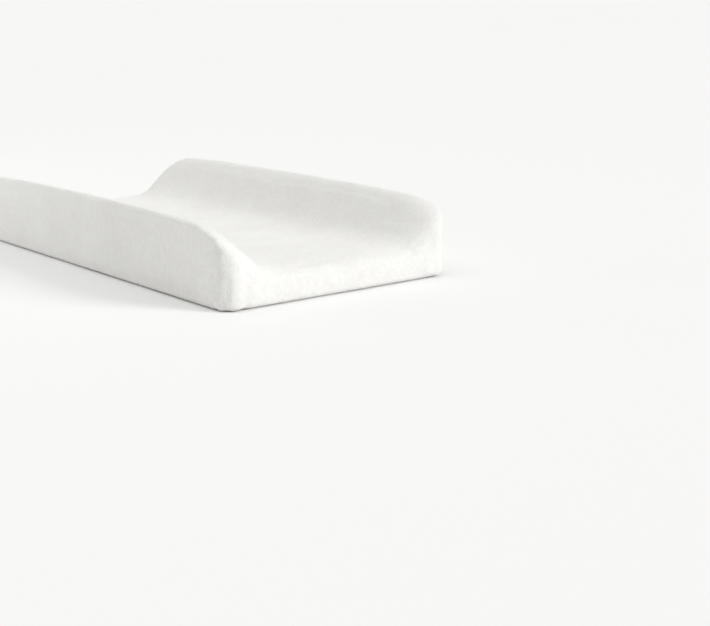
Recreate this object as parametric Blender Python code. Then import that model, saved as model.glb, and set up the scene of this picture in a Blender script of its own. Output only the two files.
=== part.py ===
"""A contoured baby changing pad in its fitted plush cover, as an assembly of separate pieces.

Frame: origin at the centre of the underside, +X along the pad, +Y across it, +Z up. Metres.
From the inside out: a foam slab with two foam bolsters glued on it, a vinyl liner (a moulded shell
and a non-slip base with a zip, two snaps and a stowed safety belt), and a plush fitted cover whose
turned-under skirt ends in an elasticated hem. Every skin is the same pad form, inset a little more.
"""

import math

import bmesh
import bpy

# The pad over its cover
LENGTH = 0.813
WIDTH = 0.406
RIDGE_HEIGHT = 0.1255         # plane of the crests, before their shoulders are softened
TROUGH_HEIGHT = 0.046
SLOPE_ANGLE = math.radians(56.0)
CREST_IN = 0.0225             # from the outer side to the top of the inner slope
CREST_SOFT = 0.026
TOE_SOFT = 0.026
CROWN = 0.006                 # how much lower a ridge is at its ends than at mid-length
EDGE_R = 0.010                # outer top edge of each ridge
FOOT_R = 0.008                # bottom edge all round
CORNER_R = 0.027              # upright corners, in plan
RIDGE_END_REACH = 0.092       # how far from the end a ridge starts to round over
RIDGE_END_DROP = 0.044
TROUGH_END_REACH = 0.058
TROUGH_END_DROP = 0.021

# Layers, as insets from the outside of the cover
GAP = 0.0003
LAYER_GAP = 0.0005
COVER_THICK = 0.0030
LINER_THICK = 0.0010
LINER_OUT = COVER_THICK + LAYER_GAP
LINER_IN = LINER_OUT + LINER_THICK
FOAM_OUT = LINER_IN + LAYER_GAP
SLAB_HEIGHT = TROUGH_HEIGHT - FOAM_OUT - LAYER_GAP
BOLSTER_LIP = 0.0022          # blunt inner edge of each bolster
FOAM_OVER_SLIDER = 0.0103     # height of the foam over the zip's slider, and over the snaps' caps
FOAM_OVER_SNAP = 0.0062
CUT_LOW = -0.010              # heights between which a cutter passes right through the underside
CUT_HIGH = 0.020
PAST = 0.001                  # how far a cutter runs on past the face that it opens

# Underside
SKIRT = 0.050                 # how far the cover turns under
HEM_WIDTH = 0.0120
HEM_HEIGHT = 0.0039
HEM_WALL = 0.0009
ELASTIC_IN = 0.002            # from the casing's edges to the elastic's
ELASTIC_CLEAR = 0.0004
SHELL_TURN_UNDER = 0.015
PANEL_IN = 0.008
PANEL_THICK = 0.0010
BAND_LIFT = 0.0049
RAMP = 0.005
GRIP_IN = 0.072               # inset of the flat area that grips what the pad lies on
OPENING_R = 0.024

# Zip, across the base near one end
ZIP_X = -0.270
ZIP_HALF = 0.112
ZIP_LIFT = 0.0056
STOP_LENGTH = 0.0023
ZIP_DENT_END = ZIP_HALF + 0.020    # leaves room for the pull at either end of the run
SLIT_HALF = 0.0052
SLIT_ROOM = 0.001             # between a stop and the slit's end
TOOTH_IN = 0.0008
TOOTH_ROOT = 0.0022
TOOTH_OUT = 0.0036
TOOTH_PITCH = 0.005
TAPE_OUT = 0.015
TAPE_THICK = 0.0005
TAPE_Z = ZIP_LIFT + PANEL_THICK + GAP
TAPE_OVERHANG = 0.007         # the tapes run on past the teeth
GROOVE_HALF = 0.006           # the foam's groove for the slider
GROOVE_OVERRUN = 0.004
TEETH_LOW = 0.0060
TEETH_HIGH = 0.0083
SLIDER_HALF_X = 0.0046
SLIDER_HALF_Y = 0.0055
SLIDER_REST_Y = -ZIP_HALF + 0.0075
PLATE_THICK = 0.0011
WEB_HALF = 0.0005
WEB_IN = 0.0010               # how much shorter than the plates the web is, at each end
BITE = 0.0005                 # how far joined shapes reach into each other
BAIL_OUT = 0.0044
BAIL_IN = 0.0029
BAIL_HALF_X = 0.0008
BAIL_DROP = 0.0017            # from the pull's axis down to the bail's underside
BAR_THICK = 0.0008
PULL_AXIS_Z = 0.0035
PULL_LENGTH = 0.024
PULL_THICK = 0.0012
PULL_HALF_X = 0.0032
PULL_CHAMFER = 0.0015
EYE_HALF_X = 0.0014
EYE_END = 0.0062

# Safety belt, stowed across the underside at mid-length
BELT_Z = 0.0053               # middle of the webbing and of the buckle
BELT_LIFT = 0.0068
BELT_CHANNEL_HALF = 0.0175
BUCKLE_LIFT = 0.0104
BUCKLE_CHANNEL_HALF_X = 0.019
BUCKLE_CHANNEL_HALF_Y = 0.052
WEBBING_WIDTH = 0.025
WEBBING_THICK = 0.0012
BELT_END = WIDTH / 2 - 0.016
PATCH_LENGTH = 0.027
LOOP_RISE = 0.0020            # webbing centre above and below the buckle's bars
PATCH_HALF_X = 0.014
PATCH_THICK = 0.0008
PATCH_IN = 0.003              # from the webbing's end to its patch
BUCKLE_HALF_X = 0.016
BAR_HALF_Z = 0.0010           # the flat frames that hold the webbing's bars
SLOT_HALF_X = 0.0132
SOCKET_BACK = -0.022          # Y of the socket's closed end, and of its frame's end
SOCKET_FRAME_END = -0.0315
SOCKET_MOUTH = 0.012
SOCKET_HALF_Z = 0.0046
SOCKET_WALL = 0.0018
CAVITY_BACK = -0.018
CAVITY_HALF_Z = 0.0030
WINDOW_LOW = -0.007           # Y of the side windows that the prongs show in
WINDOW_HIGH = 0.003
WINDOW_HALF_Z = 0.0022
SOCKET_SLOT_LOW = -0.0268
SOCKET_SLOT_HIGH = -0.0225
PLUG_SHOULDER = 0.0085        # lengths of the plug's shoulder and of the whole plug beyond the mouth
PLUG_LENGTH = 0.0255
PLUG_HALF_Z = 0.0040
PLUG_SLOTS = (0.0105, 0.0185)
PLUG_SLOT_LENGTH = 0.0043
GUIDE_HALF_X = 0.0020
GUIDE_END = -0.0080
PRONG_HALF_Z = 0.0024

# Snaps for the furniture anchor straps
SNAP_X = 0.200
SNAP_R = 0.0060
SNAP_LIFT = 0.0036
SNAP_DENT_HALF = 0.009
SNAP_HOLE_R = 0.0024          # in the base
SNAP_BORE_R = 0.0022          # in the ring
SNAP_POST_R = 0.0018          # on the cap
SNAP_POST_LOW = 0.0009
SNAP_CAP_THICK = 0.0009

# Care label, blank
LABEL_LOW = (0.103, -0.134)
LABEL_HIGH = (0.142, -0.106)
LABEL_THICK = 0.0004
LABEL_LIFT = 0.0010
LABEL_ROOM = 0.002            # how far the dent over the label runs on past it

# Colours: linear RGB, roughness, metallic
FINISHES = {
    "plush": ((0.88, 0.87, 0.84), 0.95, 0.0),
    "hem_binding": ((0.86, 0.85, 0.82), 0.85, 0.0),
    "elastic": ((0.80, 0.80, 0.78), 0.70, 0.0),
    "vinyl": ((0.84, 0.85, 0.85), 0.35, 0.0),
    "non_slip": ((0.70, 0.71, 0.72), 0.60, 0.0),
    "foam": ((0.86, 0.80, 0.62), 0.95, 0.0),
    "webbing": ((0.76, 0.76, 0.74), 0.75, 0.0),
    "buckle": ((0.80, 0.80, 0.79), 0.35, 0.0),
    "zip_tape": ((0.80, 0.80, 0.78), 0.80, 0.0),
    "zip_teeth": ((0.78, 0.78, 0.76), 0.40, 0.0),
    "nickel": ((0.66, 0.65, 0.62), 0.25, 1.0),
    "label": ((0.90, 0.90, 0.89), 0.60, 0.0),
}


# ---- general helpers ----

def clear_scene():
    for obj in list(bpy.data.objects):
        bpy.data.objects.remove(obj)


def finish(name):
    material = bpy.data.materials.get(name)
    if material is None:
        colour, roughness, metallic = FINISHES[name]
        material = bpy.data.materials.new(name)
        material.use_nodes = True
        shader = material.node_tree.nodes["Principled BSDF"]
        shader.inputs["Base Color"].default_value = (*colour, 1.0)
        shader.inputs["Roughness"].default_value = roughness
        shader.inputs["Metallic"].default_value = metallic
        material.diffuse_color = (*colour, 1.0)
    return material


def link(name, mesh, finish_name=None):
    obj = bpy.data.objects.new(name, mesh)
    bpy.context.scene.collection.objects.link(obj)
    if finish_name:
        mesh.materials.append(finish(finish_name))
    return obj


def from_faces(name, points, faces, finish_name=None):
    """An object from points and faces, with every face turned outwards."""
    bm = bmesh.new()
    verts = [bm.verts.new(point) for point in points]
    for face in faces:
        bm.faces.new([verts[i] for i in face])
    bmesh.ops.recalc_face_normals(bm, faces=bm.faces)
    mesh = bpy.data.meshes.new(name)
    bm.to_mesh(mesh)
    bm.free()
    return link(name, mesh, finish_name)


def prism(name, outline, low, high, finish_name=None):
    """The closed XY outline, extruded from height low to height high."""
    bm = bmesh.new()
    base = bm.faces.new([bm.verts.new((x, y, low)) for x, y in outline])
    grown = bmesh.ops.extrude_face_region(bm, geom=[base])
    raised = [item for item in grown["geom"] if isinstance(item, bmesh.types.BMVert)]
    bmesh.ops.translate(bm, verts=raised, vec=(0.0, 0.0, high - low))
    bmesh.ops.recalc_face_normals(bm, faces=bm.faces)
    mesh = bpy.data.meshes.new(name)
    bm.to_mesh(mesh)
    bm.free()
    return link(name, mesh, finish_name)


def slab(name, low, high, finish_name=None):
    """A rectangular block between two corners."""
    outline = [(low[0], low[1]), (high[0], low[1]), (high[0], high[1]), (low[0], high[1])]
    return prism(name, outline, low[2], high[2], finish_name)


def disc_outline(x, y, radius, sides=20):
    turns = [2 * math.pi * i / sides for i in range(sides)]
    return [(x + radius * math.cos(a), y + radius * math.sin(a)) for a in turns]


def rounded_outline(inset, radius, steps=6):
    """The pad's plan, inset on every side, as a rectangle with arcs at its corners."""
    half_x = LENGTH / 2 - inset - radius
    half_y = WIDTH / 2 - inset - radius
    points = []
    for quarter, (sx, sy) in enumerate(((1, 1), (-1, 1), (-1, -1), (1, -1))):
        for step in range(steps + 1):
            a = (quarter + step / steps) * math.pi / 2
            points.append((sx * half_x + radius * math.cos(a), sy * half_y + radius * math.sin(a)))
    return points


def guide(obj):
    obj.hide_render = True
    obj.display_type = "WIRE"
    return obj


def combine(obj, other, operation):
    modifier = obj.modifiers.new(f"{operation.lower()}_{other.name}", "BOOLEAN")
    modifier.operation = operation
    modifier.object = guide(other)
    return obj


def cut(obj, other):
    return combine(obj, other, "DIFFERENCE")


def smooth(obj, degrees=35):
    obj.data.shade_smooth()
    obj.data.set_sharp_from_angle(angle=math.radians(degrees))
    return obj


# ---- the pad form, which every layer shares ----

def soft_min(a, b, softness):
    return 0.5 * (a + b - math.hypot(a - b, softness))


def soft_max(a, b, softness):
    return 0.5 * (a + b + math.hypot(a - b, softness))


def quarter_round(radius, distance):
    """How far a quarter round of that radius falls away, distance in from its edge."""
    if distance >= radius:
        return 0.0
    return radius - math.sqrt(max(0.0, radius ** 2 - (radius - max(0.0, distance)) ** 2))


class PadForm:
    """The pad's outer form, offset inwards by inset."""

    def __init__(self, inset):
        rise = math.tan(SLOPE_ANGLE)
        self.inset = inset
        self.half_x = LENGTH / 2 - inset
        self.half_y = WIDTH / 2 - inset
        self.top = RIDGE_HEIGHT - inset
        self.floor = TROUGH_HEIGHT - inset
        self.rise = rise
        self.crest = CREST_IN - inset * (1 + (math.hypot(1, rise) - 1) / rise)
        self.toe = self.crest + (self.top - self.floor) / rise
        self.edge_r = EDGE_R - inset
        self.foot_r = FOOT_R - inset
        self.corner_r = CORNER_R - inset

    def contour(self, inwards):
        """Height of the uncut contour, inwards from the long side."""
        slope = self.top - self.rise * (inwards - self.crest)
        crest = soft_min(self.top, slope, CREST_SOFT)
        return soft_max(self.floor, crest, TOE_SOFT)

    def end_drop(self, from_end, height):
        """How far the top falls away towards the end: the ridges' crown, and then the round end."""
        share = min(1.0, max(0.0, (height - self.floor) / (self.top - self.floor)))
        reach = TROUGH_END_REACH + share * (RIDGE_END_REACH - TROUGH_END_REACH) - self.inset
        depth = TROUGH_END_DROP + share * (RIDGE_END_DROP - TROUGH_END_DROP) - self.inset
        crown = share * CROWN * (1 - from_end / self.half_x) ** 2
        return crown + depth / reach * quarter_round(reach, from_end)

    def side_stations(self):
        """Distances in from the long side, beyond its rounded edge."""
        middle = (self.crest + self.toe) / 2
        near_crest = [self.crest + offset for offset in (-0.006, 0.002, 0.010, 0.019)]
        near_toe = [self.toe + offset for offset in (-0.017, -0.008, 0.002, 0.014, 0.034)]
        return near_crest + [middle] + near_toe

    def section(self, from_end):
        """The closed outline across the pad, (y, z) points, that far from an end."""
        half = self.half_y - quarter_round(self.corner_r, from_end)
        base = self.inset + quarter_round(self.foot_r, from_end)
        arc = [self.edge_r * (1 - math.cos(math.radians(a))) for a in (0, 22, 45, 67, 90)]
        shrink = (half - self.edge_r) / (self.half_y - self.edge_r)
        stations = [half - t for t in arc]
        stations += [(self.half_y - t) * shrink for t in self.side_stations()] + [0.0]
        top = []
        for y in stations:
            contour = self.contour(self.half_y - y)
            height = contour - quarter_round(self.edge_r, half - y) - self.end_drop(from_end, contour)
            top.append((y, height))
        foot = []
        for degrees in (90, 60, 30, 0):
            a = math.radians(degrees)
            foot.append((half - self.foot_r * (1 - math.sin(a)), base + self.foot_r * (1 - math.cos(a))))
        under = [(0.0, base)] + foot[::-1]
        far = under + top
        near = [(-y, z) for y, z in far[::-1] if y > 1e-9]
        return far + near

    def end_stations(self):
        reach = RIDGE_END_REACH - self.inset
        stations = [reach * (1 - math.cos(math.radians(a))) for a in (0, 13, 26, 38, 52, 70, 90)]
        return stations + [reach + 0.3 * (self.half_x - reach), reach + 0.62 * (self.half_x - reach)]

    def solid(self, name, finish_name=None):
        stations = self.end_stations()
        places = [(-self.half_x + d, d) for d in stations] + [(0.0, self.half_x)]
        places += [(self.half_x - d, d) for d in stations[::-1]]
        points = []
        for x, from_end in places:
            points += [(x, y, z) for y, z in self.section(from_end)]
        count = len(points) // len(places)
        faces = [tuple(range(count)), tuple(range(len(points) - count, len(points)))]
        for row in range(len(places) - 1):
            for i in range(count):
                j = (i + 1) % count
                a = row * count
                faces.append((a + i, a + j, a + count + j, a + count + i))
        return from_faces(name, points, faces, finish_name)


# ---- the dented underside: where the base gives way to what lies below it ----

def base_dents():
    """(x low, x high, y low, y high, lift) of each place where the non-slip base is pushed up."""
    dents = [
        (ZIP_X - TAPE_OUT, ZIP_X + TAPE_OUT, -ZIP_DENT_END, ZIP_DENT_END, ZIP_LIFT),
        (-BELT_CHANNEL_HALF, BELT_CHANNEL_HALF, -WIDTH, WIDTH, BELT_LIFT),
        (-BUCKLE_CHANNEL_HALF_X, BUCKLE_CHANNEL_HALF_X,
         -BUCKLE_CHANNEL_HALF_Y, BUCKLE_CHANNEL_HALF_Y, BUCKLE_LIFT),
        (LABEL_LOW[0] - LABEL_ROOM, LABEL_HIGH[0] + LABEL_ROOM,
         LABEL_LOW[1] - LABEL_ROOM / 2, LABEL_HIGH[1] + LABEL_ROOM, LABEL_LIFT),
    ]
    for x in (-SNAP_X, SNAP_X):
        dents.append((x - SNAP_DENT_HALF, x + SNAP_DENT_HALF, -SNAP_DENT_HALF, SNAP_DENT_HALF, SNAP_LIFT))
    return dents


def foam_dents():
    """Where the foam stands higher than the base needs: over the zip's tapes and slider, and the snaps."""
    above_panel = PANEL_THICK + GAP
    dents = [
        (ZIP_X - TAPE_OUT - 0.001, ZIP_X + TAPE_OUT + 0.001, -ZIP_DENT_END, ZIP_DENT_END,
         TAPE_Z + TAPE_THICK + GAP - above_panel),
        (ZIP_X - GROOVE_HALF, ZIP_X + GROOVE_HALF, -ZIP_HALF - GROOVE_OVERRUN, ZIP_HALF + GROOVE_OVERRUN,
         FOAM_OVER_SLIDER - above_panel),
    ]
    for x in (-SNAP_X, SNAP_X):
        half = SNAP_DENT_HALF
        dents.append((x - half, x + half, -half, half, FOAM_OVER_SNAP - above_panel))
    return dents


def lift(x, y, dents):
    """Height of the base's underside over a flat surface."""
    outside = max(0.0, abs(x) - LENGTH / 2 + GRIP_IN, abs(y) - WIDTH / 2 + GRIP_IN)
    band = min(1.0, outside / RAMP)
    height = BAND_LIFT * band
    for low_x, high_x, low_y, high_y, rise in dents:
        away = max(low_x - x, x - high_x, low_y - y, y - high_y, 0.0)
        height = max(height, rise * max(0.0, 1.0 - away / RAMP))
    return height


def grid_lines():
    """Every X and every Y where the underside's slope changes."""
    half = (LENGTH / 2, WIDTH / 2)
    lines = [{-half[0], half[0]}, {-half[1], half[1]}]
    for axis in (0, 1):
        band = half[axis] - GRIP_IN
        lines[axis].update((band, band + RAMP, -band, -band - RAMP))
    for dent in base_dents() + foam_dents():
        for axis in (0, 1):
            low, high = dent[2 * axis], dent[2 * axis + 1]
            for value in (low - RAMP, low, high, high + RAMP):
                if abs(value) < half[axis]:
                    lines[axis].add(value)
    return [sorted({round(value, 6) for value in line}) for line in lines]


def dented_sheet(name, dents, low_offset, high_offset, finish_name=None, flat_bottom=None):
    """A sheet over the pad's whole plan that follows the dents. flat_bottom makes a solid block below it."""
    xs, ys = grid_lines()
    points = []
    for x in xs:
        for y in ys:
            points.append((x, y, lift(x, y, dents) + high_offset))
    for x in xs:
        for y in ys:
            low = lift(x, y, dents) + low_offset if flat_bottom is None else flat_bottom
            points.append((x, y, low))
    wide, deep = len(xs), len(ys)
    under = wide * deep
    faces = []
    for i in range(wide - 1):
        for j in range(deep - 1):
            a, b = i * deep + j, (i + 1) * deep + j
            for base in (0, under):
                faces.append((base + a, base + b, base + b + 1))
                faces.append((base + a, base + b + 1, base + a + 1))
    for i in range(wide - 1):
        for edge in (0, deep - 1):
            a, b = i * deep + edge, (i + 1) * deep + edge
            faces.append((a, b, b + under, a + under))
    for j in range(deep - 1):
        for edge in (0, (wide - 1) * deep):
            a = edge + j
            faces.append((a, a + 1, a + 1 + under, a + under))
    obj = from_faces(name, points, faces, finish_name)
    bm = bmesh.new()
    bm.from_mesh(obj.data)
    bmesh.ops.dissolve_limit(bm, angle_limit=0.0005, verts=bm.verts, edges=bm.edges)
    bm.to_mesh(obj.data)
    bm.free()
    return obj


# ---- foam ----

def make_foam():
    form = PadForm(FOAM_OUT)
    dents = base_dents() + foam_dents()
    reach = LENGTH
    sky = 2 * RIDGE_HEIGHT
    base = form.solid("foam_base", "foam")
    cut(base, slab("lid_cutter", (-reach, -reach, SLAB_HEIGHT), (reach, reach, sky)))
    cut(base, dented_sheet("foam_dents", dents, 0.0, PANEL_THICK + GAP, flat_bottom=CUT_LOW))
    lip = form.toe
    while form.contour(lip) < SLAB_HEIGHT + GAP + BOLSTER_LIP:
        lip -= 0.0005
    for side, name in ((-1, "foam_bolster_near"), (1, "foam_bolster_far")):
        bolster = form.solid(name, "foam")
        edges = sorted((side * (form.half_y - lip), side * reach))
        keep = slab(name + "_keep", (-reach, edges[0], SLAB_HEIGHT + GAP), (reach, edges[1], sky))
        combine(bolster, keep, "INTERSECT")
        smooth(bolster)


# ---- liner ----

def make_liner():
    shell = smooth(PadForm(LINER_OUT).solid("liner_shell", "vinyl"))
    cut(shell, PadForm(LINER_IN).solid("liner_cavity"))
    mouth = rounded_outline(SHELL_TURN_UNDER, CORNER_R - SHELL_TURN_UNDER)
    cut(shell, prism("liner_mouth", mouth, CUT_LOW, LINER_IN + PAST))

    panel = dented_sheet("liner_base", base_dents(), 0.0, PANEL_THICK, "non_slip")
    outline = rounded_outline(PANEL_IN, CORNER_R - PANEL_IN)
    combine(panel, prism("panel_outline", outline, CUT_LOW, CUT_HIGH), "INTERSECT")
    slit_end = ZIP_HALF + STOP_LENGTH + SLIT_ROOM
    slit_low = (ZIP_X - SLIT_HALF, -slit_end, CUT_LOW)
    slit_high = (ZIP_X + SLIT_HALF, slit_end, CUT_HIGH)
    cut(panel, slab("zip_slit", slit_low, slit_high))
    for side, x in (("left", -SNAP_X), ("right", SNAP_X)):
        cut(panel, prism(f"snap_hole_{side}", disc_outline(x, 0.0, SNAP_HOLE_R, 16), CUT_LOW, CUT_HIGH))


def make_label():
    low = (*LABEL_LOW, GAP)
    high = (*LABEL_HIGH, GAP + LABEL_THICK)
    slab("care_label", low, high, "label")


def make_snaps():
    """Each snap: a ring below the base, and a cap above it whose post reaches through into the ring."""
    for side, x in (("left", -SNAP_X), ("right", SNAP_X)):
        socket = prism(f"anchor_snap_socket_{side}", disc_outline(x, 0.0, SNAP_R, 24),
                       GAP, SNAP_LIFT - GAP, "nickel")
        cut(socket, prism(f"snap_bore_{side}", disc_outline(x, 0.0, SNAP_BORE_R, 16), CUT_LOW, CUT_HIGH))
        cap_low = SNAP_LIFT + PANEL_THICK + GAP
        cap = prism(f"anchor_snap_cap_{side}", disc_outline(x, 0.0, SNAP_R, 24),
                    cap_low, cap_low + SNAP_CAP_THICK, "nickel")
        post = prism(f"snap_post_{side}", disc_outline(x, 0.0, SNAP_POST_R, 16),
                     SNAP_POST_LOW, cap_low + SNAP_CAP_THICK / 2)
        combine(cap, post, "UNION")


# ---- zip ----

def comb_outline(side, first):
    """One row of zip teeth on its cord, seen from above."""
    points = [(TOOTH_OUT, ZIP_HALF), (TOOTH_OUT, -ZIP_HALF), (TOOTH_ROOT, -ZIP_HALF)]
    y = -ZIP_HALF + first
    half_tooth = TOOTH_PITCH / 4
    while y + half_tooth < ZIP_HALF:
        points += [(TOOTH_ROOT, y - half_tooth), (TOOTH_IN, y - half_tooth * 0.7)]
        points += [(TOOTH_IN, y + half_tooth * 0.7), (TOOTH_ROOT, y + half_tooth)]
        y += TOOTH_PITCH
    points.append((TOOTH_ROOT, ZIP_HALF))
    return [(ZIP_X + side * x, y) for x, y in points]


def make_zip_chain():
    for name, side, first in (("left", -1, TOOTH_PITCH / 2), ("right", 1, TOOTH_PITCH)):
        prism(f"zip_teeth_{name}", comb_outline(side, first), TEETH_LOW, TEETH_HIGH, "zip_teeth")
        edges = sorted((ZIP_X + side * (TOOTH_OUT + GAP), ZIP_X + side * TAPE_OUT))
        tape_end = ZIP_HALF + TAPE_OVERHANG
        slab(f"zip_tape_{name}", (edges[0], -tape_end, TAPE_Z),
             (edges[1], tape_end, TAPE_Z + TAPE_THICK), "zip_tape")
    for name, side in (("closed", -1), ("open", 1)):
        edges = sorted((side * (ZIP_HALF + GAP), side * (ZIP_HALF + STOP_LENGTH)))
        slab(f"zip_stop_{name}", (ZIP_X - TOOTH_OUT, edges[0], TEETH_LOW),
             (ZIP_X + TOOTH_OUT, edges[1], TEETH_HIGH), "nickel")


def make_zip_slider():
    """Two plates joined by a web between the rows of teeth, and a bail below for the pull."""
    y = SLIDER_REST_Y
    half_x, half_y = SLIDER_HALF_X, SLIDER_HALF_Y
    plate_low = TEETH_LOW - GAP - PLATE_THICK
    crown_low = TEETH_HIGH + GAP
    slider = slab("zip_slider", (ZIP_X - half_x, y - half_y, plate_low),
                  (ZIP_X + half_x, y + half_y, TEETH_LOW - GAP), "nickel")
    web = slab("slider_web", (ZIP_X - WEB_HALF, y - half_y + WEB_IN, plate_low + BITE),
               (ZIP_X + WEB_HALF, y + half_y - WEB_IN, crown_low + BITE))
    crown = slab("slider_crown", (ZIP_X - half_x, y - half_y, crown_low),
                 (ZIP_X + half_x, y + half_y, crown_low + PLATE_THICK))
    low, root = PULL_AXIS_Z - BAIL_DROP, plate_low + BITE
    bar_top = low + BAR_THICK
    arch = [(-BAIL_OUT, root), (-BAIL_OUT, low), (BAIL_OUT, low), (BAIL_OUT, root)]
    arch += [(BAIL_IN, root), (BAIL_IN, bar_top), (-BAIL_IN, bar_top), (-BAIL_IN, root)]
    bail = along_x("slider_bail", [(y + dy, z) for dy, z in arch], ZIP_X - BAIL_HALF_X, ZIP_X + BAIL_HALF_X)
    for piece in (web, crown, bail):
        combine(slider, piece, "UNION")

    half_bar = PULL_THICK / 2
    shoulder_y, tip_x = PULL_LENGTH - PULL_CHAMFER, PULL_HALF_X - PULL_CHAMFER
    outline = [(-PULL_HALF_X, -half_bar), (PULL_HALF_X, -half_bar), (PULL_HALF_X, shoulder_y),
               (tip_x, PULL_LENGTH), (-tip_x, PULL_LENGTH), (-PULL_HALF_X, shoulder_y)]
    pull = prism("zip_pull", outline, -half_bar, half_bar, "nickel")
    pull.location = (ZIP_X, y, PULL_AXIS_Z)
    eye = slab("pull_eye", (ZIP_X - EYE_HALF_X, y + half_bar, 0.0),
               (ZIP_X + EYE_HALF_X, y + EYE_END, PULL_LENGTH))
    cut(pull, eye)


# ---- safety belt ----

def ribbon(name, route, thickness, width, finish_name):
    """Webbing of that width across X, along a route of (y, z) points through its middle."""
    sides = ([], [])
    for i, (y, z) in enumerate(route):
        before = route[max(0, i - 1)]
        after = route[min(len(route) - 1, i + 1)]
        along = math.atan2(after[1] - before[1], after[0] - before[0])
        for side, sign in zip(sides, (-1, 1)):
            offset = sign * thickness / 2
            side.append((y - offset * math.sin(along), z + offset * math.cos(along)))
    return along_x(name, sides[0] + sides[1][::-1], -width / 2, width / 2, finish_name)


def make_strap(name, side, slot_y, rise_y, tail_y):
    """From the liner's edge in to the buckle, over its bars, down the slot and back underneath."""
    high, low = BELT_Z + LOOP_RISE, BELT_Z - LOOP_RISE
    bend = [math.radians(a) for a in (60, 30, 0, -30, -60)]
    route = [(BELT_END, BELT_Z), (rise_y + 0.012, BELT_Z), (rise_y, high)]
    route += [(slot_y + LOOP_RISE * (1 - math.cos(a)), BELT_Z + LOOP_RISE * math.sin(a)) for a in bend]
    route += [(rise_y, low), (tail_y, low)]
    ribbon(name, [(side * y, z) for y, z in route], WEBBING_THICK, WEBBING_WIDTH, "webbing")


def along_x(name, outline, low, high, finish_name=None):
    """The closed (y, z) outline, extruded from X low to X high."""
    count = len(outline)
    points = [(x, y, z) for x in (low, high) for y, z in outline]
    faces = [tuple(range(count)), tuple(range(count, 2 * count))]
    for i in range(count):
        j = (i + 1) % count
        faces.append((i, j, count + j, count + i))
    return from_faces(name, points, faces, finish_name)


def belt_block(name, half_x, low_y, high_y, half_z, finish_name=None):
    """A block centred on the belt's line."""
    return slab(name, (-half_x, low_y, BELT_Z - half_z), (half_x, high_y, BELT_Z + half_z), finish_name)


def make_buckle():
    wide = BUCKLE_HALF_X
    socket = belt_block("buckle_socket", wide, SOCKET_BACK, SOCKET_MOUTH, SOCKET_HALF_Z, "buckle")
    bars = belt_block("socket_frame", wide, SOCKET_FRAME_END, SOCKET_BACK + BITE, BAR_HALF_Z)
    combine(socket, bars, "UNION")
    inside = wide - SOCKET_WALL
    cut(socket, belt_block("socket_cavity", inside, CAVITY_BACK, SOCKET_MOUTH + PAST, CAVITY_HALF_Z))
    cut(socket, belt_block("socket_windows", wide + PAST, WINDOW_LOW, WINDOW_HIGH, WINDOW_HALF_Z))
    cut(socket, belt_block("socket_slot", SLOT_HALF_X, SOCKET_SLOT_LOW, SOCKET_SLOT_HIGH, PLUG_HALF_Z))

    mouth = SOCKET_MOUTH + GAP
    shoulder = mouth + PLUG_SHOULDER
    plug = belt_block("buckle_plug", wide, mouth, shoulder, PLUG_HALF_Z, "buckle")
    guide_bar = belt_block("plug_guide", GUIDE_HALF_X, GUIDE_END, mouth + 2 * BITE, PRONG_HALF_Z)
    combine(plug, guide_bar, "UNION")
    combine(plug, belt_block("plug_frame", wide, shoulder - BITE, mouth + PLUG_LENGTH, BAR_HALF_Z), "UNION")
    for side, name in ((-1, "left"), (1, "right")):
        prong = [(0.0085, mouth + 2 * BITE), (0.0085, -0.0110), (0.0112, -0.0130), (0.0138, -0.0065),
                 (0.0138, -0.0020), (0.0118, 0.0010), (0.0118, mouth + 2 * BITE)]
        outline = [(side * x, y) for x, y in prong]
        arm = prism(f"plug_prong_{name}", outline, BELT_Z - PRONG_HALF_Z, BELT_Z + PRONG_HALF_Z)
        combine(plug, arm, "UNION")
    for number, start in enumerate(PLUG_SLOTS):
        low_y = mouth + start
        high_y = low_y + PLUG_SLOT_LENGTH
        cut(plug, belt_block(f"plug_slot_{number + 1}", SLOT_HALF_X, low_y, high_y, PLUG_HALF_Z))

    make_strap("belt_strap_near", -1, slot_y=0.0235, rise_y=0.036, tail_y=0.055)
    make_strap("belt_strap_far", 1, slot_y=0.0238, rise_y=0.042, tail_y=0.078)
    for side, name in ((-1, "near"), (1, "far")):
        outer = BELT_END - PATCH_IN
        edges = sorted((side * (outer - PATCH_LENGTH), side * outer))
        high = BELT_Z - WEBBING_THICK / 2 - GAP
        slab(f"belt_patch_{name}", (-PATCH_HALF_X, edges[0], high - PATCH_THICK),
             (PATCH_HALF_X, edges[1], high), "webbing")


# ---- cover ----

def make_cover():
    cover = smooth(PadForm(0.0).solid("plush_cover", "plush"))
    cut(cover, PadForm(COVER_THICK).solid("cover_cavity"))
    cut(cover, prism("cover_mouth", rounded_outline(SKIRT, OPENING_R), CUT_LOW, COVER_THICK + PAST))


def hoop(name, section, finish_name):
    """A closed hoop round the underside's opening, from a section of (inset, z) points."""
    loops = [[(x, y, z) for x, y in rounded_outline(inset, OPENING_R - (inset - SKIRT))]
             for inset, z in section]
    around, across = len(loops[0]), len(section)
    points = [point for loop in loops for point in loop]
    faces = []
    for i in range(across):
        for j in range(around):
            a, b = i * around, ((i + 1) % across) * around
            k = (j + 1) % around
            faces.append((a + j, a + k, b + k, b + j))
    return from_faces(name, points, faces, finish_name)


def make_hem():
    outer = SKIRT + GAP
    inner = outer + HEM_WIDTH
    top, wall = HEM_HEIGHT, HEM_WALL
    casing = [(outer, 0.0), (inner, 0.0), (inner, top), (outer, top), (outer, top - wall),
              (inner - wall, top - wall), (inner - wall, wall), (outer, wall)]
    hoop("cover_hem", casing, "hem_binding")
    low, high = wall + ELASTIC_CLEAR, top - wall - ELASTIC_CLEAR
    start, end = outer + ELASTIC_IN, inner - ELASTIC_IN
    band = [(start, low), (end, low), (end, high), (start, high)]
    hoop("hem_elastic", band, "elastic")


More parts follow.
